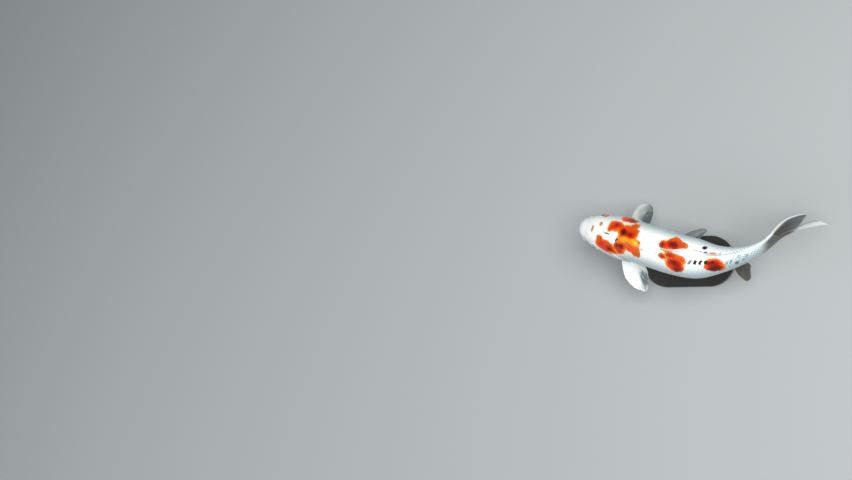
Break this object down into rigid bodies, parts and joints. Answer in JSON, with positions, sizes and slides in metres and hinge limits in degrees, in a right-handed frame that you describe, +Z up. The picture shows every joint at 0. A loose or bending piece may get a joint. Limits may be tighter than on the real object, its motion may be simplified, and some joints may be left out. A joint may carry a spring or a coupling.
{
  "type": "koi carp",
  "caption": "Life-size still model of a white koi carp with orange-red patches, swimming with its tail swept round, held on a plain two-rod stand.",
  "frame": {"origin": "centre of the underside of the stand's base, on the table", "axes": "+Z up; the head points to -X and the tail to +X; the fish's left side is towards -Y"},
  "size_m": [0.5216, 0.199, 0.251],
  "materials": {
    "skin": "wet fish skin and scales, white with orange-red patches and small black marks",
    "fin": "thin milky membrane on fine rays",
    "eye": "dark wet eye with a clear bulging front",
    "stand_wood": "black-stained hardwood, satin",
    "stand_steel": "brushed round rod"
  },
  "bodies": {
    "root": {"head": "skin", "gill_cover_left": "skin", "gill_cover_right": "skin", "eye_left": "eye", "eye_right": "eye", "barbel_lip_left": "skin", "barbel_lip_right": "skin", "barbel_corner_left": "skin", "barbel_corner_right": "skin", "trunk_front": "skin", "trunk_rear": "skin", "tail_stalk": "skin", "dorsal_fin": "fin", "anal_fin": "fin", "pectoral_fin_left": "fin", "pectoral_fin_right": "fin", "pelvic_fin_left": "fin", "pelvic_fin_right": "fin", "tail_fin_upper": "fin", "tail_fin_lower": "fin", "stand_base": "stand_wood", "stand_rod_front": "stand_steel", "stand_rod_rear": "stand_steel"}
  },
  "joints": []
}
